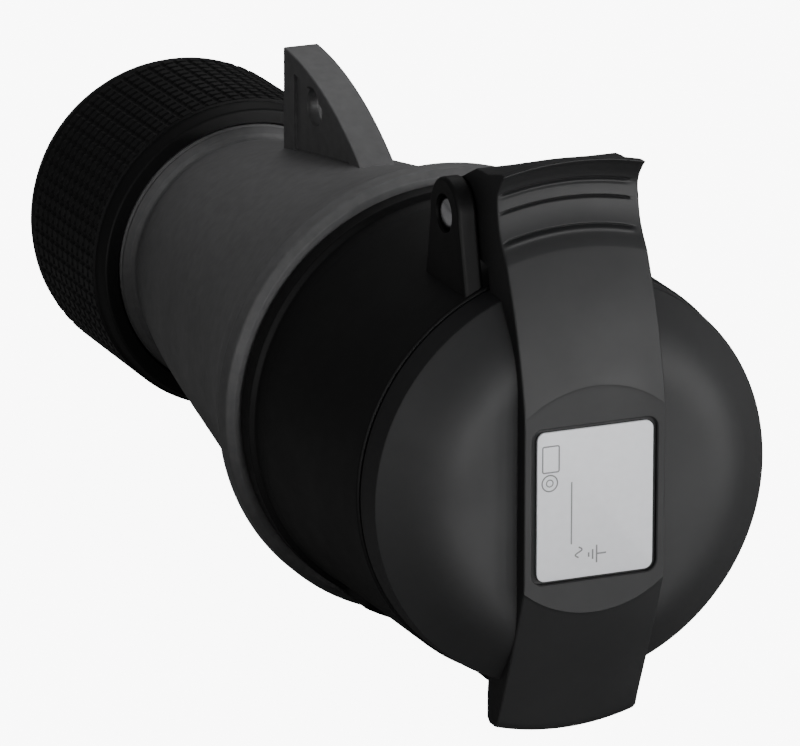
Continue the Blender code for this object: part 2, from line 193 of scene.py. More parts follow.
def plate_y(name, outline, low, high, radius, steps=4):
    """The same with an (x, z) outline, its edges rounded, lying across Y."""
    path = np.array(outline, float)
    normal = outward(path)
    centre, half = (low + high) / 2, (high - low) / 2
    rings = []
    for y, inset in round_ends(half, radius, 1, steps):
        flat = path - normal * inset
        rings.append(np.stack([flat[:, 0], np.full(len(flat), centre + y), flat[:, 1]], -1))
    return loops(name, rings)


def circle(radius, steps, centre=(0.0, 0.0), turn=0.0):
    return [
        (
            centre[0] + radius * math.cos(turn + 2 * math.pi * k / steps),
            centre[1] + radius * math.sin(turn + 2 * math.pi * k / steps),
        )
        for k in range(steps)
    ]


def arc(centre, radius, start, end, steps):
    return [
        (
            centre[0] + radius * math.cos(math.radians(start + (end - start) * k / steps)),
            centre[1] + radius * math.sin(math.radians(start + (end - start) * k / steps)),
        )
        for k in range(steps + 1)
    ]


def arc_between(a, b, radius, steps):
    """Points from a to b on the arc of this radius that bulges to the left of a-b."""
    a, b = np.array(a, float), np.array(b, float)
    along = (b - a) / np.linalg.norm(b - a)
    half = np.linalg.norm(b - a) / 2
    reach = math.sqrt(radius * radius - half * half)
    centre = (a + b) / 2 + np.array([along[1], -along[0]]) * reach
    start = math.atan2(*(a - centre)[::-1])
    sweep = math.atan2(*(b - centre)[::-1]) - start
    sweep = (sweep + math.pi) % (2 * math.pi) - math.pi
    return [
        tuple(centre + radius * np.array([math.cos(start + sweep * k / steps), math.sin(start + sweep * k / steps)]))
        for k in range(steps + 1)
    ]


def combine(target, other, operation):
    """Joins or cuts two meshes for good, and removes the second."""
    modifier = target.modifiers.new("step", "BOOLEAN")
    modifier.operation = operation
    modifier.object = other
    modifier.solver = "EXACT"
    graph = bpy.context.evaluated_depsgraph_get()
    mesh = bpy.data.meshes.new_from_object(target.evaluated_get(graph))
    target.modifiers.clear()
    old = target.data
    target.data = mesh
    mesh.name = target.name
    bpy.data.meshes.remove(old)
    bpy.data.objects.remove(other, do_unlink=True)
    return target


def turned_x(name, path, centre, steps=32):
    """A closed solid from (radius, x) points turned about a line along X through centre (y, z)."""
    rings = []
    for radius, x in path:
        rings.append([(x, p[0], p[1]) for p in circle(max(radius, 1e-4), steps, centre)])
    return loops(name, rings)


def turn_about_y(obj, angle):
    """Turns a mesh about the coupler's axis."""
    c, s = math.cos(angle), math.sin(angle)
    for v in obj.data.vertices:
        x, z = v.co.x, v.co.z - AXIS_Z * 0.001
        v.co.x = x * c - z * s
        v.co.z = x * s + z * c + AXIS_Z * 0.001
    obj.data.update()
    return obj


def finish(obj, material, body, nodes=(), angle=38.0, weighted=False):
    obj.data.materials.clear()
    obj.data.materials.append(material)
    obj.data.shade_smooth()
    obj.data.set_sharp_from_angle(angle=math.radians(angle))
    if weighted:
        modifier = obj.modifiers.new("weighted", "WEIGHTED_NORMAL")
        modifier.keep_sharp = True
        modifier.weight = 80
    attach(obj, body)
    if nodes:
        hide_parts(*nodes)
    return obj


def smooth(t):
    t = np.clip(t, 0.0, 1.0)
    return t * t * (3 - 2 * t)


# ---------------------------------------------------------------- materials


def plastic(name, colour, rough, grain=0.45, depth=0.012, mottle=0.10, patch=14.0, spread=0.05, specular=0.5, metallic=0.0):
    """A moulded or turned surface: fine grain, slight colour mottling and uneven gloss."""
    material = bpy.data.materials.new(name)
    material.use_nodes = True
    nodes, links = material.node_tree.nodes, material.node_tree.links
    shader = nodes["Principled BSDF"]
    shader.inputs["Specular IOR Level"].default_value = specular
    shader.inputs["Metallic"].default_value = metallic
    place = nodes.new("ShaderNodeTexCoord")

    fine = nodes.new("ShaderNodeTexNoise")
    fine.inputs["Scale"].default_value = 1000.0 / grain
    fine.inputs["Detail"].default_value = 3.0
    fine.inputs["Roughness"].default_value = 0.6
    links.new(place.outputs["Object"], fine.inputs["Vector"])
    bump = nodes.new("ShaderNodeBump")
    bump.inputs["Strength"].default_value = 0.5
    bump.inputs["Distance"].default_value = depth * 0.001
    links.new(fine.outputs["Fac"], bump.inputs["Height"])
    links.new(bump.outputs["Normal"], shader.inputs["Normal"])

    wide = nodes.new("ShaderNodeTexNoise")
    wide.inputs["Scale"].default_value = 1000.0 / patch
    wide.inputs["Detail"].default_value = 4.0
    links.new(place.outputs["Object"], wide.inputs["Vector"])
    gloss = nodes.new("ShaderNodeMapRange")
    gloss.inputs["From Min"].default_value = 0.3
    gloss.inputs["From Max"].default_value = 0.7
    gloss.inputs["To Min"].default_value = rough - spread
    gloss.inputs["To Max"].default_value = rough + spread
    links.new(wide.outputs["Fac"], gloss.inputs["Value"])
    links.new(gloss.outputs["Result"], shader.inputs["Roughness"])

    speck = nodes.new("ShaderNodeTexNoise")
    speck.inputs["Scale"].default_value = 1000.0 / (grain * 4)
    speck.inputs["Detail"].default_value = 5.0
    links.new(place.outputs["Object"], speck.inputs["Vector"])
    ramp = nodes.new("ShaderNodeValToRGB")
    ramp.color_ramp.elements[0].position = 0.3
    ramp.color_ramp.elements[1].position = 0.7
    ramp.color_ramp.elements[0].color = (*[c * (1 - mottle) for c in colour], 1)
    ramp.color_ramp.elements[1].color = (*[c * (1 + mottle) for c in colour], 1)
    links.new(speck.outputs["Fac"], ramp.inputs["Fac"])
    links.new(ramp.outputs["Color"], shader.inputs["Base Color"])
    return material


GREY = plastic("grey_polyamide", (0.088, 0.088, 0.0895), 0.55, grain=0.5, depth=0.016, specular=0.35)
BLACK = plastic("black_polyamide", (0.0038, 0.0038, 0.0040), 0.55, grain=0.5, depth=0.012, specular=0.22)
NUT = plastic("black_nut_polyamide", (0.0036, 0.0036, 0.0038), 0.58, grain=0.4, depth=0.012, specular=0.24)
CHARCOAL = plastic("charcoal_polyamide", (0.0062, 0.0063, 0.0070), 0.63, grain=0.5, depth=0.010, spread=0.04)
INSERT = plastic("insert_polyamide", (0.022, 0.022, 0.0235), 0.5, grain=0.5, depth=0.014)
RUBBER = plastic("seal_rubber_black", (0.010, 0.010, 0.010), 0.72, grain=0.3, depth=0.02, specular=0.35)
PALE = plastic("label_plate_pale", (0.86, 0.87, 0.91), 0.5, grain=0.35, depth=0.004, mottle=0.02, specular=1.0)
INK = plastic("label_ink_grey", (0.20, 0.20, 0.21), 0.5, grain=0.3, depth=0.003, mottle=0.06)
BRASS = plastic("turned_brass", (0.72, 0.50, 0.22), 0.26, grain=0.25, depth=0.004, mottle=0.05, metallic=1.0)
STEEL = plastic("plated_steel", (0.60, 0.60, 0.62), 0.26, grain=0.25, depth=0.004, mottle=0.06, metallic=1.0)
NYLON = plastic("natural_nylon", (0.34, 0.335, 0.32), 0.45, grain=0.5, depth=0.01)


# ---------------------------------------------------------------- rear housing


def body_radius(y):
    back = 91.8 - y
    return 24.05 + 0.145 * back + 1.65 * (1 - np.exp(-back / 12.0)) + 2.05 * np.exp(-(y - 12.0) / 8.0)


def around(extra):
    """Angles round the axis, closer together near the given ones (degrees, half width, step)."""
    marks = list(np.arange(0, 360, 1.8))
    for centre, half, step in extra:
        marks = [m for m in marks if abs((m - centre + 180) % 360 - 180) > half]
        marks += list((centre + np.arange(-half, half + 1e-6, step)) % 360)
    return np.radians(np.array(sorted(set(round(m, 4) for m in marks))))


def rear_shape(radius, y, turn):
    x, z = radius * np.cos(turn), radius * np.sin(turn)
    outer = radius > body_radius(np.clip(y, 0, 91.8)) - 1.6
    # The flange's lip is lower at the bottom.
    flange = outer & (y < 9.2) & (z < 0)
    low = 40.86 + 1.1 * smooth((np.abs(x) - 19.9) / 0.6)
    radius = np.where(flange, np.minimum(radius, low), radius)
    # A fillet runs up to the lug on both sides and at its foot.
    away = np.hypot(np.maximum(np.abs(x) - 3.2, 0), np.maximum(32.8 - y, 0) * 0.8)
    lift = 0.35 * np.clip(1 - away / 2.6, 0, 1) ** 2 * ((y > 26) & (y < 68.5) & (z > 0) & outer)
    lift *= smooth((68.6 - y) / 1.6)
    radius = radius + lift
    return radius, y


def rear_housing():
    wall = 2.9
    outer = fillet(
        [(36.9, 0.3), (40.5, 0.3, 0.5), (41.82, 1.4, 0.9), (41.82, 5.0, 1.2), (40.9, 6.6, 1.0), (39.95, 8.5, 2.0), (39.6, 10.4, 3.0), (39.2, 12.3, 3.0)],
        closed=False,
        most=12,
    )[:-1]
    outer += [(float(body_radius(y)), float(y)) for y in np.arange(12.6, 91.9, 0.9)]
    outer += fillet(
        [
            (24.06, 91.95),
            (24.1, 92.6, 0.5),
            (25.0, 93.0, 0.3),
            (26.0, 94.2, 0.25),
            (25.75, 94.45, 0.15),
            (25.75, 94.75, 0.15),
            (26.3, 95.0, 0.25),
            (26.3, 97.0, 0.3),
            (24.3, 97.5, 0.3),
            (24.3, 98.3),
        ],
        closed=False,
    )
    # Thread of the gland neck, a fine wave along it.
    for k in range(64):
        y = 98.6 + k * 0.3125
        outer.append((23.86 + 0.42 * math.cos(2 * math.pi * (y - 98.6) / 2.5), y))
    outer += [(23.6, 118.7), (23.0, 119.2)]
    inner = [(20.0, 119.2), (20.0, 97.6), (17.0, 97.6), (17.0, 94.0), (20.2, 91.0)]
    inner += [(float(min(body_radius(y) - wall, 33.0)), float(y)) for y in (86.0, 78.0, 70.0, 62.0, 54.0, 45.0, 36.0, 24.0)]
    inner += [(33.0, 18.0), (33.0, 8.3), (36.9, 8.3)]
    body = lathe("rear_housing_shell", outer + inner, shape=rear_shape, angles=around([(90, 12, 0.6), (299, 4, 0.5), (241, 4, 0.5)]))

    front = arc_between((30.2, 34.5), (67.8, 48.6), 72.0, 40)
    outline = fillet([(*p, 0.0) for p in front[:-1]] + [(67.8, 48.6, 0.35), (67.8, 24.9, 0.0), (50.0, 28.4, 0.0), (31.0, 30.9, 0.0)])
    lug = plate_x("lug", outline, -3.5, 3.5, 0.35)
    inside = arc_between((36.0, 34.9), (62.2, 44.6), 70.0, 24)
    recess = [(y, z) for y, z in inside] + [(62.3, 44.3), (62.3, 25.0), (36.2, 29.0)]
    recess = fillet([(*p, 0.0) for p in recess[:-3]] + [(*recess[-3], 0.3), (*recess[-2], 0.0), (*recess[-1], 0.0)])
    normal = outward(recess)
    shallow = ((-2.85, -0.15), (-2.95, 0.0), (-3.45, 0.12), (-4.2, 0.3))
    deep = ((-0.72, -0.2), (-0.62, 0.0), (3.45, 0.12), (4.2, 0.3))
    for stations in (shallow, deep):
        rings = [np.array([(x, *(np.array(p) + n * grow)) for p, n in zip(recess, normal)]) for x, grow in stations]
        combine(lug, loops("recess", rings), "DIFFERENCE")
    rim = [(4.6, -4.5), (3.75, -3.05), (3.45, -2.6), (3.4, -2.1), (3.4, -1.0), (3.55, -0.6), (3.55, 4.5)]
    eye = turned_x("eye", rim, (54.0, 40.2), 48)
    combine(lug, eye, "DIFFERENCE")
    combine(body, lug, "UNION")
    return finish(body, GREY, "housing", ["rear_housing"], weighted=True)


# ---------------------------------------------------------------- front housing


def front_shape(radius, y, turn):
    x, z = radius * np.cos(turn), radius * np.sin(turn)
    outer = (radius > 36.9) & (y < -0.5)
    degrees = np.degrees(turn)
    away = np.abs(degrees - 270.0)
    share = smooth((32.2 - away) / 1.6) * smooth((y + 13.7) / 1.4)
    boss = 40.0
    radius = np.where(outer & (radius < boss), radius + (boss - radius) * share, radius)
    return radius, y


def front_housing():
    path = fillet(
        [
            (36.6, -0.3, 0.0),
            (39.5, -0.3, 0.35),
            (39.5, -4.1, 0.5),
            (38.5, -4.9, 0.6),
            (38.2, -8.0, 2.0),
            *[(38.2 - 0.012 * (-8.0 - y), y, 0.0) for y in (-11.8, -12.2, -12.5, -12.8, -13.1, -13.4, -13.8)],
            (37.7, -50.0, 0.55),
            (35.6, -50.0, 0.55),
            (35.6, -8.0, 0.6),
            (24.6, -8.0, 0.3),
            (24.6, -4.4, 0.0),
            (33.4, -4.4, 0.0),
            (33.4, 6.0, 0.0),
            (36.6, 6.0, 0.4),
        ]
    )
    path = [tuple(p) for p in dense(path, 1.6)]
    body = lathe("front_housing_shroud", path, shape=front_shape, angles=around([(238, 4, 0.5), (302, 4, 0.5)]))
    foot = fillet([(-0.8, -36.4, 0.0), (-0.8, -42.3, 1.0), (-42.6, -42.3, 2.0), (-46.0, -38.4, 1.5), (-46.0, -36.4, 0.0)])
    combine(body, plate_x("foot", foot, -7.0, 7.0, 0.6), "UNION")
    key = fillet([(-4.0, -39.8, 0.5), (4.0, -39.8, 0.5), (4.0, -30.0, 0.0), (-4.0, -30.0, 0.0)])
    combine(body, plate_y("keyway", key, -55.0, -8.0, 0.2), "DIFFERENCE")
    for side in (-1, 1):
        low, high = sorted((side * 13.6, side * 17.2))
        outline = fillet(
            [(*p, 0.0) for p in arc((PIN[0], PIN[1]), 6.4, -8, 180, 36)] + [(-49.6, 33.2, 0.0), (-32.0, 33.2, 0.0)]
        )
        combine(body, plate_x("ear", outline, low, high, 0.7, steps=5), "UNION")
        hole = fillet([(2.25, 12.0), (2.25, 15.2, 0.1), (3.3, 15.35, 0.15), (3.3, 16.8, 0.2), (3.7, 17.6)], closed=False)
        drill = turned_x("pin_hole", [(r, side * x) for r, x in hole], PIN)
        combine(body, drill, "DIFFERENCE")
    for side in (-1, 1):
        combine(body, turned_y("web_hole", [(1.75, -10.0), (1.75, -2.0)], (side * 27.3, 0.0), 24), "DIFFERENCE")
    return finish(body, BLACK, "housing", ["front_housing"], weighted=True)


# ---------------------------------------------------------------- lid

LID_INSIDE = [(0, -61.4), (15.0, -61.0), (26.0, -59.6), (31.0, -57.6), (33.2, -55.0)]
HALF = 13.35
DISC = 20.5


def dome_table():
    """The dome's radii and heights: flat in the middle, rounded, then a cone down to its edge."""
    r = np.linspace(0, 37.0, 149)
    slope = np.tan(np.radians(38.0) * smooth((r - 21.5) / 11.5))
    y = np.concatenate([[0.0], np.cumsum((slope[1:] + slope[:-1]) / 2 * (r[1] - r[0]))])
    return r, y - y[-1] - 56.2


DOME = dome_table()


def dome_y(r):
    return float(np.interp(r, *DOME))


def wall_y(r):
    inner = -52.4
    for (r0, y0), (r1, y1) in zip(LID_INSIDE, LID_INSIDE[1:]):
        if r0 <= r <= r1:
            inner = y0 + (y1 - y0) * (r - r0) / (r1 - r0)
    return (inner + dome_y(r)) / 2


TAB = np.array(
    [(42.0, -59.1), (43.0, -58.5), (44.2, -57.65), (45.3, -56.8), (46.3, -56.15), (47.5, -55.5), (49.0, -54.9), (50.8, -54.45)]
    + [(52.5, -54.2), (54.2, -54.25), (55.4, -54.8), (56.6, -55.65), (57.7, -56.5), (58.3, -57.0)]
)


def tab_curve(rho):
    """Smooth curve through the thumb groove's points."""
    x, y = TAB[:, 0], TAB[:, 1]
    slope = np.gradient(y, x)
    k = int(np.clip(np.searchsorted(x, rho) - 1, 0, len(x) - 2))
    step = x[k + 1] - x[k]
    t = min(max((rho - x[k]) / step, 0.0), 1.0)
    return (
        (2 * t**3 - 3 * t**2 + 1) * y[k]
        + (t**3 - 2 * t**2 + t) * step * slope[k]
        + (-2 * t**3 + 3 * t**2) * y[k + 1]
        + (t**3 - t**2) * step * slope[k + 1]
    )


def front_y(x, z):
    """Front face of the band."""
    rho = math.hypot(x, z)
    if z < 0:
        if rho < DISC:
            return -66.4
        out = rho - DISC
        return -66.4 + min(out * 1.2, 0.14) + 0.455 * max(out - 0.05, 0)
    crown = -68.5 + ((z - 3.0) ** 2 + x * x) / 160.0
    if rho < DISC:
        return -66.4
    crown = max(crown, -66.45)
    if rho < 42.2:
        return crown
    tab = tab_curve(rho)
    t = float(smooth((rho - 42.2) / 1.3))
    return crown * (1 - t) + tab * t


GROOVES = ((54.2, 0.5, 0.15), (51.0, 0.5, 0.0), (46.35, 0.5, 0.17))


def ridge(x, rho):
    """Grip grooves and ribs across the thumb tab, pushed back (positive) or forward."""
    fade = float(smooth((x + 12.6) / 0.4) * smooth((11.7 - x) / 0.4))
    push = 0.0
    for centre, deep, rib in GROOVES:
        push += deep * math.exp(-(((rho - centre) / 0.2) ** 2))
        push -= rib * math.exp(-(((rho - centre + 0.52) / 0.34) ** 2))
    return push * fade


def band_rows():
    """Heights of the band's rows on its middle line."""
    rows = [-45.1 + (45.1 - DISC) * k / 34 for k in range(34)]
    rows += [-DISC - 0.12, -DISC, -DISC + 0.15]
    rows += list(np.linspace(-DISC + 1.0, DISC - 1.0, 44))
    rows += [DISC - 0.15, DISC, DISC + 0.15]
    rows += list(np.linspace(DISC + 1.0, 43.0, 30))
    fine = [c + t for c, _, _ in GROOVES for t in np.arange(-1.12, 0.72, 0.08)]
    wide = [r for r in np.arange(43.3, 57.5, 0.3) if min(abs(r - f) for f in fine) > 0.1]
    return rows + sorted(fine + wide)


ROWS = band_rows()


def band_ring(x, inset):
    top = math.sqrt(58.3**2 - x * x)
    low = -math.sqrt(46.0**2 - x * x)
    skirt = math.sqrt(36.8**2 - x * x)
    disc = math.sqrt(DISC**2 - x * x)
    knots = [-45.1, -DISC, 0.0, DISC, 43.0]
    values = [low + 0.9, -disc, 0.0, disc, math.sqrt(43.0**2 - x * x)]
    ring, scale = [], []

    def add(y, z, s):
        ring.append((y, z))
        scale.append(s)

    for y, z in fillet([(-50.8, low + 0.9, 0.0), (-51.7, low, 0.5), (-54.1, low, 0.5), (-54.9, low + 0.75, 0.0)], closed=False)[1:-1]:
        add(y, z, 0.35)
    for row in ROWS:
        if row <= 43.0:
            z = float(np.interp(row, knots, values))
            rho = math.hypot(x, z)
        else:
            z, rho = math.sqrt(row**2 - x * x), row
        y = front_y(x, z)
        if row > 43.0:
            y += ridge(x, rho)
        edge = float(smooth((row + 45.1) / 3.0)) * 0.6 + 0.4 if row < 0 else 1.0 - 0.5 * float(smooth((row - 55.5) / 2))
        add(y, z, edge * (0.2 + 0.8 * float(smooth((abs(abs(row) - DISC) - 0.2) / 0.9))))
    for y, z in fillet([(-56.75, top - 0.6, 0.0), (-57.2, top, 0.5), (-55.4, top, 0.6), (-50.0, top - 1.4, 0.0)], closed=False, most=10)[1:-1]:
        add(y, z, 0.45)
    for t in (0.35, 0.7, 1.0):
        add(-55.2 + 5.2 * t, top - 1.4 * t, 0.45)
    add(-47.5, (top - 1.4 + 55.2) / 2 + 0.1, 0.45)
    add(-45.0, 55.2, 0.45)
    for y, z in arc(PIN, 6.1, 78, -90, 26):
        add(y, z, 0.45)
    for y, z in ((-50.6, 39.0), (-51.4, skirt), (-54.2, skirt)):
        add(y, z, 0.0)
    backs = (31.0, 28.0, 24.5, 20.0, 14.0, 7.0)
    for z in (*backs, 0.0, *(-b for b in reversed(backs))):
        add(wall_y(math.hypot(x, z)), z, 0.0)
    for y, z in ((-54.2, -skirt), (-51.4, -skirt), (-50.8, -39.0), (-50.8, low + 0.9)):
        add(y, z, 0.0)
    path = np.array(ring)
    flat = path - outward(path) * inset * np.array(scale)[:, None]
    return np.stack([np.full(len(flat), x), flat[:, 0], flat[:, 1]], -1)


def lid():
    shell = [(float(r), dome_y(float(r))) for r in np.linspace(0, 36.0, 65)]
    edge = [(36.2, dome_y(36.2)), (37.0, -56.2, 0.5), (37.3, -50.4, 0.45), (36.6, -50.4, 0.2), (36.6, -52.4, 0.2), (33.2, -52.4, 0.3)]
    shell += fillet(edge, closed=False)
    inside = fillet([(*p, 6.0) for p in LID_INSIDE[::-1]], closed=False)
    shell += inside
    body = lathe("lid_cover", shell, 192)

    stations = round_ends(HALF, 0.35, 40, 4)
    band = loops("band", [band_ring(x, inset) for x, inset in stations])
    combine(body, band, "UNION")

    corners = [(11.76, 13.62), (-11.76, 13.62), (-11.76, -14.35), (11.76, -14.35)]
    pocket = fillet([(*p, 1.9) for p in corners])
    normal = outward(pocket)
    rings = [
        np.array([(x + n[0] * grow, y, z + n[1] * grow) for (x, z), n in zip(pocket, normal)])
        for y, grow in ((-65.6, 0.0), (-66.2, 0.03), (-66.42, 0.28), (-69.0, 0.3))
    ]
    combine(body, loops("pocket", rings), "DIFFERENCE")
    combine(body, plate_x("bore", circle(2.25, 32, PIN), -20, 20, 0.1), "DIFFERENCE")
    slot = fillet([(-48.2, 35.9, 0.0), (-29.0, 35.9, 0.0), (-29.0, 62.0, 0.0), (-48.2, 62.0, 0.8)])
    combine(body, plate_x("spring_slot", slot, -4.8, 4.8, 0.3), "DIFFERENCE")
    leg = fillet([(-52.0, 49.25, 0.5), (-47.1, 49.25, 0.0), (-47.1, 61.0, 0.0), (-52.0, 61.0, 0.0)])
    combine(body, plate_x("leg_slot", leg, 2.55, 5.35, 0.2), "DIFFERENCE")
    return finish(body, CHARCOAL, "lid", ["lid"], angle=32, weighted=True)


def stroke(path, width, closed=False, low=-66.49, high=-66.40):
    """Points and faces of a thin raised line along a path of (x, z) points."""
    p = np.array(path, float)
    if closed:
        along = np.roll(p, -1, 0) - np.roll(p, 1, 0)
    else:
        along = np.gradient(p, axis=0)
    along /= np.linalg.norm(along, axis=1, keepdims=True)
    side = np.stack([along[:, 1], -along[:, 0]], -1) * width / 2
    rows = []
    for a, b in zip(p + side, p - side):
        rows += [(a[0], low, a[1]), (a[0], high, a[1]), (b[0], high, b[1]), (b[0], low, b[1])]
    faces = strip_faces(len(p), 4, closed, True)
    if not closed:
        faces += [(0, 1, 2, 3), tuple(len(rows) - 4 + k for k in range(4))]
    return rows, faces


def label():
    corners = [(10.96, 13.12), (-10.96, 13.12), (-10.96, -13.85), (10.96, -13.85)]
    plate = plate_y("label_plate", fillet([(*p, 1.5) for p in corners]), -66.45, -65.9, 0.12)
    finish(plate, PALE, "lid", ["lid_label"])

    # Plain marks: a box, a ring, a rule, a wave and the earth symbol, all turned a quarter.
    lines = [
        (fillet([(1.3, 2.5, 0.3), (4.4, 2.5, 0.3), (4.4, 7.2, 0.3), (1.3, 7.2, 0.3)]), 0.24, True),
        (circle(1.45, 40, (2.65, 9.15)), 0.24, True),
        (circle(0.62, 24, (2.65, 9.15)), 0.2, True),
        ([(6.8, 9.4), (6.8, 15.0), (6.8, 20.7)], 0.24, False),
        ([(8.2 + 0.62 * math.sin(2 * math.pi * t / 24), 21.4 + 1.9 * t / 24) for t in range(25)], 0.26, False),
        ([(11.6, 21.4), (11.6, 23.0), (11.6, 24.6)], 0.28, False),
        ([(10.85, 22.1), (10.85, 23.0), (10.85, 23.9)], 0.28, False),
        ([(10.1, 22.6), (10.1, 23.0), (10.1, 23.4)], 0.28, False),
        ([(11.7, 23.0), (12.5, 23.0), (13.4, 23.0)], 0.28, False),
    ]
    points, faces = [], []
    for path, width, closed in lines:
        rows, more = stroke([(u - 11.26, 13.12 - w) for u, w in path], width, closed)
        faces += [tuple(i + len(points) for i in face) for face in more]
        points += rows
    marks = build("label_marks", points, faces, merge=False)
    finish(marks, INK, "lid")


# ---------------------------------------------------------------- contacts and their carrier

PITCH = 18.0


def contact_places():
    """Centre of each contact and its direction from the axis, the earth contact first."""
    for i in range(5):
        angle = math.radians(-60 + 72 * i)
        yield PITCH * math.cos(angle), PITCH * math.sin(angle), angle


def turned_y(name, path, centre=(0.0, 0.0), steps=48):
    """A closed solid from (radius, y) points turned about a line along Y through centre (x, z)."""
    rings = []
    for radius, y in path:
        rings.append([(p[0], y, p[1]) for p in circle(max(radius, 1e-4), steps, centre)])
    return loops(name, rings)


def contact_insert():
    edge = fillet([(0.01, -48.0), (30.5, -48.0, 0.8), (30.5, -8.3, 0.3), (0.01, -8.3)], closed=False)
    body = turned_y("contact_carrier", edge, steps=128)
    for i, (x, z, _) in enumerate(contact_places()):
        radius = 5.7 if i == 0 else 4.6
        hole = fillet([(radius + 2.5, -49.7), (radius, -47.2, 0.4), (radius, -7.0)], closed=False)
        combine(body, turned_y("hole", hole, (x, z)), "DIFFERENCE")
        ring = [(radius + 1.9, -49.0), (radius + 1.9, -47.7), (radius + 1.6, -47.5), (radius + 1.3, -47.5), (radius + 1.0, -47.7), (radius + 1.0, -49.0)]
        combine(body, lathe_at("groove", ring, (x, z)), "DIFFERENCE")
    combine(body, turned_y("core", [(8.0, -40.0), (8.0, -7.0)]), "DIFFERENCE")
    dish = fillet([(7.4, -49.0), (6.4, -47.3, 0.5), (0.01, -47.3)], closed=False)
    combine(body, turned_y("dish", dish), "DIFFERENCE")
    rim = [(28.6, -49.0), (28.6, -47.6), (28.3, -47.4), (27.9, -47.4), (27.6, -47.6), (27.6, -49.0)]
    combine(body, lathe_at("rim_groove", rim, (0, 0), 128), "DIFFERENCE")
    for side in (-1, 1):
        combine(body, turned_y("screw_hole", [(1.75, -21.0), (1.75, -7.0)], (side * 27.3, 0.0), 24), "DIFFERENCE")
    finish(body, INSERT, "housing", ["contact_insert"], weighted=True)


def lathe_at(name, path, centre, steps=48):
    """A closed (radius, y) path turned about a line along Y, leaving a ring."""
    turn = np.arange(steps) * 2 * math.pi / steps
    p = np.array(path, float)
    points = np.stack(
        [
            centre[0] + p[:, :1] * np.cos(turn),
            np.repeat(p[:, 1:2], steps, 1),
            centre[1] + p[:, :1] * np.sin(turn),
        ],
        -1,
    )
    return build(name, points, strip_faces(len(path), steps, True, True))


def back_plate():
    edge = fillet([(0.01, -4.1), (32.9, -4.1, 0.3), (32.9, -0.6, 0.3), (0.01, -0.6)], closed=False)
    body = turned_y("carrier_back_plate", edge, steps=96)
    for i, (x, z, _) in enumerate(contact_places()):
        combine(body, turned_y("hole", [(5.7 if i == 0 else 4.6, -6.0), (5.7 if i == 0 else 4.6, 2.0)], (x, z)), "DIFFERENCE")
    for side in (-1, 1):
        combine(body, turned_y("hole", [(1.75, -6.0), (1.75, 2.0)], (side * 27.3, 0.0), 24), "DIFFERENCE")
    finish(body, INSERT, "housing", ["insert_back_plate"])


def along_radius(obj, place, angle, y):
    """Swings a solid turned about Y so that its axis points away from the coupler's axis."""
    c, s = math.cos(angle), math.sin(angle)
    for v in obj.data.vertices:
        p = (v.co.x * 1000, v.co.y * 1000 - AXIS_Y, v.co.z * 1000 - AXIS_Z)
        moved = to_frame([(-s * p[0] + c * p[1] + place[0], p[2] + y, c * p[0] + s * p[1] + place[1])])[0]
        v.co = moved
    obj.data.update()
    return recalculated(obj)


def recalculated(obj):
    bm = bmesh.new()
    bm.from_mesh(obj.data)
    bmesh.ops.recalc_face_normals(bm, faces=bm.faces)
    bm.to_mesh(obj.data)
    bm.free()
    return obj


def contacts():
    for i, (x, z, angle) in enumerate(contact_places()):
        name = ("earth", "l1", "l2", "l3", "n")[i]
        bore, outer, terminal = (4.15, 5.35, 6.6) if i == 0 else (3.15, 4.25, 5.8)
        path = fillet(
            [
                (0.01, -14.0),
                (bore, -14.0, 0.3),
                (bore, -45.2, 0.3),
                (bore + 0.55, -46.0, 0.25),
                (outer - 0.1, -46.0, 0.35),
                (outer, -44.6, 0.4),
                (outer - 0.25, -44.0, 0.2),
                (outer - 0.25, -43.0, 0.2),
                (outer, -42.4, 0.2),
                (outer, -0.2, 0.1),
                (terminal, -0.2, 0.4),
                (terminal, 14.0, 0.4),
                (3.3, 14.0, 0.3),
                (2.9, 13.4, 0.1),
                (2.9, 2.0, 0.2),
                (0.01, 2.0),
            ],
            closed=False,
        )
        sleeve = turned_y("sleeve_" + name, path, (x, z))
        for turn in (angle, angle + math.pi / 2):
            half = outer + 1.0
            c, s = math.cos(turn), math.sin(turn)
            corners = [(-half, -0.35), (half, -0.35), (half, 0.35), (-half, 0.35)]
            outline = [(x + c * u - s * v, z + s * u + c * v) for u, v in corners]
            combine(sleeve, plate_y("slit", outline, -47.0, -24.0, 0.01, 1), "DIFFERENCE")
        hole = along_radius(turned_y("hole", [(2.1, 0.4), (2.1, 12.0)], steps=24), (x, z), angle, 8.0)
        combine(sleeve, hole, "DIFFERENCE")
        finish(sleeve, BRASS, "housing", ["contact_" + name])
        head = terminal + 0.4
        path = [(0.01, 1.0), (1.2, 1.0), (1.7, 1.6)]
        k = 1.7
        while k + 0.7 < head:
            path += [(1.7, k), (1.5, k + 0.25), (1.7, k + 0.5)]
            k += 0.6
        path += fillet([(1.7, head), (2.8, head, 0.2), (2.8, head + 1.9, 0.4), (0.01, head + 2.0)], closed=False)
        screw = turned_y("clamp_screw_" + name, path, steps=24)
        slot = plate_y("slot", [(-4.0, -0.45), (4.0, -0.45), (4.0, 0.45), (-4.0, 0.45)], head + 1.1, head + 4.0, 0.02, 1)
        combine(screw, slot, "DIFFERENCE")
        along_radius(screw, (x, z), angle, 8.0)
        finish(screw, STEEL, "housing", ["terminal_screw_%d" % (i + 1)])


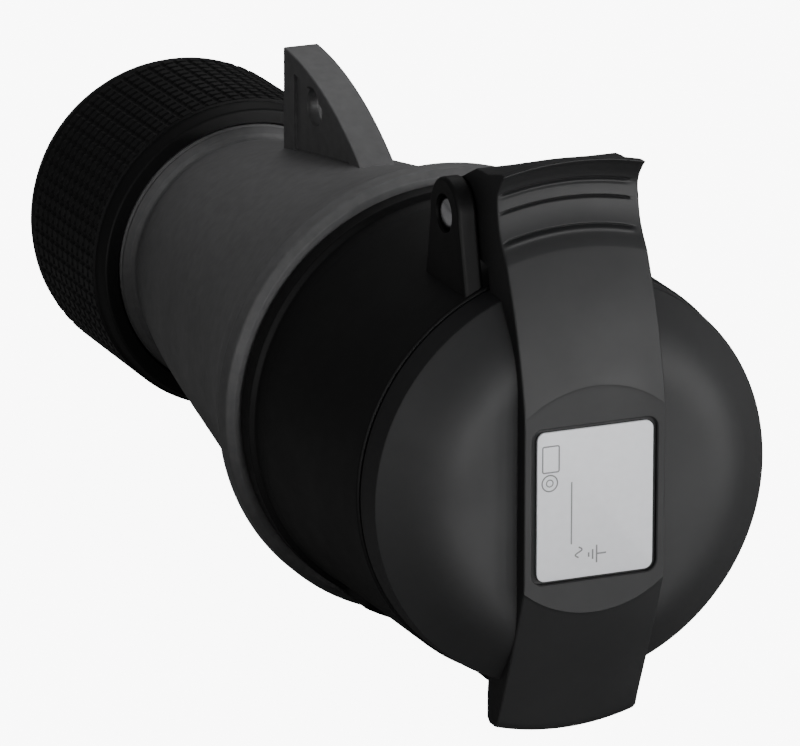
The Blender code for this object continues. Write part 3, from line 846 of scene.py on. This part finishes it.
def insert_screws():
    for side, node in ((-1, "insert_screw_left"), (1, "insert_screw_right")):
        path = [(0.01, -20.0), (0.7, -20.0), (1.4, -19.0)]
        path += [(1.4 - 0.25 * (k % 2), -18.8 + 0.4 * k) for k in range(42)]
        path += fillet([(1.4, -0.2), (2.6, -0.2, 0.15), (2.6, 1.3, 0.6), (0.01, 1.7)], closed=False)
        screw = turned_y(node + "_turned", path, (side * 27.3, 0.0), 24)
        for w, h in ((1.7, 0.35), (0.35, 1.7)):
            corners = [(side * 27.3 - w, -h), (side * 27.3 + w, -h), (side * 27.3 + w, h), (side * 27.3 - w, h)]
            combine(screw, plate_y("slot", corners, 0.7, 3.0, 0.02, 1), "DIFFERENCE")
        finish(screw, STEEL, "housing", [node])


# ---------------------------------------------------------------- rings, spring and pin


def ring(name, path, material, body, slot, node, steps=128):
    finish(lathe_at(name, fillet(path), (0, 0), steps), material, body, [node])


def rings():
    ring("body_seal_ring", [(33.8, 6.3, 0.5), (36.5, 6.3, 0.5), (36.5, 8.0, 0.5), (33.8, 8.0, 0.5)], RUBBER, "housing", "seal_rubber", "body_seal")
    ring(
        "lid_gasket_ring",
        [(33.6, -52.1, 0.1), (36.25, -52.1, 0.1), (36.25, -50.75, 0.25), (35.55, -50.35, 0.3), (34.9, -50.85, 0.3), (34.3, -50.35, 0.3), (33.6, -50.75, 0.25)],
        RUBBER,
        "lid",
        "seal_rubber",
        "lid_gasket",
        160,
    )
    ring("slip_washer", [(14.2, 130.3, 0.2), (21.4, 130.3, 0.3), (21.4, 131.9, 0.3), (14.2, 131.9, 0.2)], NYLON, "washer", "nylon", "thrust_washer")
    seal = [(11.0, 99.6, 0.3), (11.6, 99.0, 0.5), (15.4, 99.0, 0.6), (16.2, 100.4, 0.5), (16.2, 122.6, 0.5), (15.4, 124.0, 0.6), (11.6, 124.0, 0.5), (11.0, 123.4, 0.3)]
    for k in range(5):
        y = 119.5 - 4.0 * k
        seal += [(11.0, y + 0.8, 0.3), (11.5, y, 0.3), (11.0, y - 0.8, 0.3)]
    ring("gland_seal", seal, RUBBER, "housing", "seal_rubber", "cable_seal")
    cage = lathe_at("cable_cage", fillet([(16.6, 98.0, 0.2), (19.6, 98.0, 0.4), (19.6, 128.4, 1.0), (18.9, 129.8, 0.5), (16.6, 129.8, 0.3)]), (0, 0), 128)
    for i in range(4):
        turn = math.radians(22.5 + 45 * i)
        c, s = math.cos(turn), math.sin(turn)
        corners = fillet([(-24.0, -1.7), (24.0, -1.7), (24.0, 1.7), (-24.0, 1.7)])
        outline = [(c * u - s * v, s * u + c * v) for u, v in corners]
        combine(cage, plate_y("slot", outline, 106.0, 132.0, 0.02, 1), "DIFFERENCE")
    finish(cage, NYLON, "housing", ["clamp_cage"])


def hinge_pin():
    half = [(0.01, 17.2), (0.9, 17.15), (1.6, 17.05), (2.2, 16.85), (2.65, 16.55), (2.85, 16.2), (2.85, 15.5), (1.9, 15.45), (1.9, 14.0)]
    path = [(r, -x) for r, x in half] + [(r, x) for r, x in reversed(half)]
    finish(turned_x("hinge_pin_turned", path, PIN, 48), STEEL, "housing", ["hinge_pin"])


def tube(name, points, radius, sides=16):
    """A round wire through smooth points, its ends rounded."""
    p = np.array(points, float)
    along = np.gradient(p, axis=0)
    along /= np.linalg.norm(along, axis=1, keepdims=True)
    side = np.cross(along[0], (0.3, 0.2, 0.9))
    side /= np.linalg.norm(side)
    rings = []

    def add(centre, direction, side, r):
        up = np.cross(direction, side)
        rings.append([centre + r * (math.cos(2 * math.pi * k / sides) * side + math.sin(2 * math.pi * k / sides) * up) for k in range(sides)])

    for i in range(len(p)):
        side = side - along[i] * (side @ along[i])
        side /= np.linalg.norm(side)
        if i == 0:
            for t in (0.999, 0.9, 0.7, 0.4):
                add(p[0] + along[0] * radius * (1 - t), along[0], side, radius * math.sqrt(max(1 - t * t, 1e-4)))
        elif i == len(p) - 1:
            for t in (0.4, 0.7, 0.9, 0.999):
                add(p[-1] - along[-1] * radius * (1 - t), along[-1], side, radius * math.sqrt(max(1 - t * t, 1e-4)))
        elif np.linalg.norm(p[i] - p[0]) > radius * 1.1 and np.linalg.norm(p[i] - p[-1]) > radius * 1.1:
            add(p[i], along[i], side, radius)
    return loops(name, rings)


def lid_spring():
    radius, turns, half = 3.9, 4.25, 3.7
    top = PIN[1] + radius
    points = [(half, y, top) for y in np.arange(-51.4, -40.2, 0.6)]
    count = int(turns * 48)
    for i in range(count + 1):
        angle = math.pi / 2 - 2 * math.pi * turns * i / count
        points.append((half - 2 * half * i / count, PIN[0] + radius * math.cos(angle), PIN[1] + radius * math.sin(angle)))
    last = points[-1]
    points += [(last[0], last[1], last[2] - t) for t in np.arange(0.6, 7.71, 0.6)]
    points.append((last[0], last[1], 38.6))
    finish(tube("closing_spring", points, 0.6), STEEL, "housing", ["lid_spring"])


# ---------------------------------------------------------------- gland nut


def nut_shape(radius, y, turn):
    columns, pitch, front, rows = 70, 2.77, 98.2, 12
    degrees = np.mod(turn * columns / (2 * math.pi), 1.0)
    along = (y - front) / pitch
    inside = (along > 0) & (along < rows) & (radius > 29.8)
    across = np.abs(np.mod(degrees + 0.5, 1.0) - 0.5)
    down = np.abs(np.mod(along + 0.5, 1.0) - 0.5)
    pad = smooth((across - 0.07) / 0.12) * smooth((down - 0.07) / 0.12)
    return np.where(inside, radius - 0.48 * (1 - pad), radius), y


def gland_nut():
    pitch = 2.77
    outer = fillet([(26.7, 94.6), (29.3, 94.6, 0.6), (30.05, 97.7, 0.5), (30.05, 98.0)], closed=False)
    parts = [0.0, 0.1, 0.2, 0.5, 0.8, 0.9]
    for row in range(12):
        outer += [(30.55, 98.2 + pitch * (row + p)) for p in parts]
    end = 98.2 + pitch * 12
    outer += [(30.55, end), (30.15, end + 0.25)]
    outer += fillet([(30.12, end + 0.5), (30.3, 132.6, 3.0), (29.5, 135.2, 4.0), (28.2, 138.2, 4.0), (26.3, 141.5, 0.8), (22.0, 141.5, 0.0)], closed=False, most=8)[1:]
    inner = fillet([(15.8, 141.5, 0.6), (13.8, 139.9, 0.8), (13.8, 132.3, 0.3), (22.0, 132.3), (24.9, 127.5)], closed=False)
    for k in range(54):
        y = 126.5 - k * 0.5
        inner.append((24.95 + 0.2 * math.cos(2 * math.pi * y / 2.5), y))
    inner += [(24.9, 98.9), (26.7, 98.3)]
    step = 2 * math.pi / 70
    angles = np.array([step * (c + p) for c in range(70) for p in parts])
    body = lathe("gland_nut_knurled", outer + inner, shape=nut_shape, angles=angles)
    return finish(body, NUT, "nut", ["gland_nut"], angle=50)


# ---------------------------------------------------------------- camera, stage and light


def stage():
    bpy.ops.mesh.primitive_plane_add(size=1, location=(0, 0, 0))
    floor = bpy.context.object
    floor.name = "floor"
    floor.scale = (30, 30, 1)
    floor.location = (0, 0, -0.0006)
    material = bpy.data.materials.new("floor_white")
    material.use_nodes = True
    nodes, links = material.node_tree.nodes, material.node_tree.links
    shader = nodes["Principled BSDF"]
    shader.inputs["Base Color"].default_value = (0.22, 0.22, 0.22, 1)
    shader.inputs["Roughness"].default_value = 0.9
    shader.inputs["Specular IOR Level"].default_value = 0.1
    glow = nodes.new("ShaderNodeEmission")
    glow.inputs["Strength"].default_value = 8.9
    path = nodes.new("ShaderNodeLightPath")
    seen = nodes.new("ShaderNodeMixShader")
    dark = nodes.new("ShaderNodeEmission")
    dark.inputs["Strength"].default_value = 0.0
    both = nodes.new("ShaderNodeAddShader")
    links.new(path.outputs["Is Camera Ray"], seen.inputs[0])
    links.new(dark.outputs[0], seen.inputs[1])
    links.new(glow.outputs[0], seen.inputs[2])
    links.new(shader.outputs[0], both.inputs[0])
    links.new(seen.outputs[0], both.inputs[1])
    links.new(both.outputs[0], nodes["Material Output"].inputs["Surface"])
    floor.data.materials.append(material)


def lamp(name, azimuth, elevation, size, power, kinds="both"):
    """A round softbox 1.7 m from the object; kinds says what it lights: gloss, diffuse or both."""
    data = bpy.data.lights.new(name, "AREA")
    data.shape = "DISK"
    data.size = size
    data.energy = power
    obj = bpy.data.objects.new(name, data)
    turn, rise = math.radians(azimuth), math.radians(elevation)
    middle = Vector((0.0, -0.03, 0.055))
    away = Vector((math.sin(turn) * math.cos(rise), -math.cos(turn) * math.cos(rise), math.sin(rise)))
    obj.location = middle + away * 1.7
    obj.rotation_euler = (-away).to_track_quat("-Z", "Y").to_euler()
    obj.visible_glossy = kinds != "diffuse"
    obj.visible_diffuse = kinds != "gloss"
    bpy.context.scene.collection.objects.link(obj)


def camera():
    data = bpy.data.cameras.new("camera")
    data.lens = 335.4
    data.sensor_width = 36.0
    data.clip_start, data.clip_end = 0.01, 50
    obj = bpy.data.objects.new("camera", data)
    obj.location = (-0.50674, -1.21647, 0.44758)
    obj.rotation_euler = (math.radians(72.78), 0, math.radians(-22.91))
    bpy.context.scene.collection.objects.link(obj)
    bpy.context.scene.camera = obj


def world():
    made = bpy.data.worlds.new("studio")
    bpy.context.scene.world = made
    made.use_nodes = True
    nodes, links = made.node_tree.nodes, made.node_tree.links
    nodes.clear()
    out = nodes.new("ShaderNodeOutputWorld")
    mix = nodes.new("ShaderNodeMixShader")
    seen = nodes.new("ShaderNodeBackground")
    seen.inputs["Color"].default_value = (1, 1, 1, 1)
    seen.inputs["Strength"].default_value = 9.0
    light = nodes.new("ShaderNodeBackground")
    light.inputs["Color"].default_value = (1, 1, 1, 1)
    light.inputs["Strength"].default_value = 0.12
    path = nodes.new("ShaderNodeLightPath")
    links.new(path.outputs["Is Camera Ray"], mix.inputs[0])
    links.new(light.outputs[0], mix.inputs[1])
    links.new(seen.outputs[0], mix.inputs[2])
    links.new(mix.outputs[0], out.inputs["Surface"])


camera()
world()
stage()
lamp("key_front", 8, 28, 0.8, 18.0, "diffuse")
lamp("key_right", 45, 30, 0.8, 4.0, "diffuse")
lamp("fill_left", -82, 35, 0.8, 2.8, "diffuse")
lamp("top_back", 160, 62, 0.8, 11.0, "diffuse")
lamp("low_right", 50, 4, 0.3, 3.4, "diffuse")
lamp("sheen_1", 2, 1.5, 0.3, 14.0, "gloss")
lamp("sheen_2", 20, 1.5, 0.3, 6.0, "gloss")
lamp("sheen_3", 36, 1.5, 0.3, 8.0, "gloss")
lamp("sheen_4", 54, 1.5, 0.3, 12.0, "gloss")
lamp("sheen_left", -45, 4, 0.3, 6.0, "gloss")
lamp("rim_back", 150, 45, 0.8, 2.0, "gloss")

rear_housing()
front_housing()
lid()
label()
gland_nut()
contact_insert()
back_plate()
contacts()
insert_screws()
rings()
hinge_pin()
lid_spring()
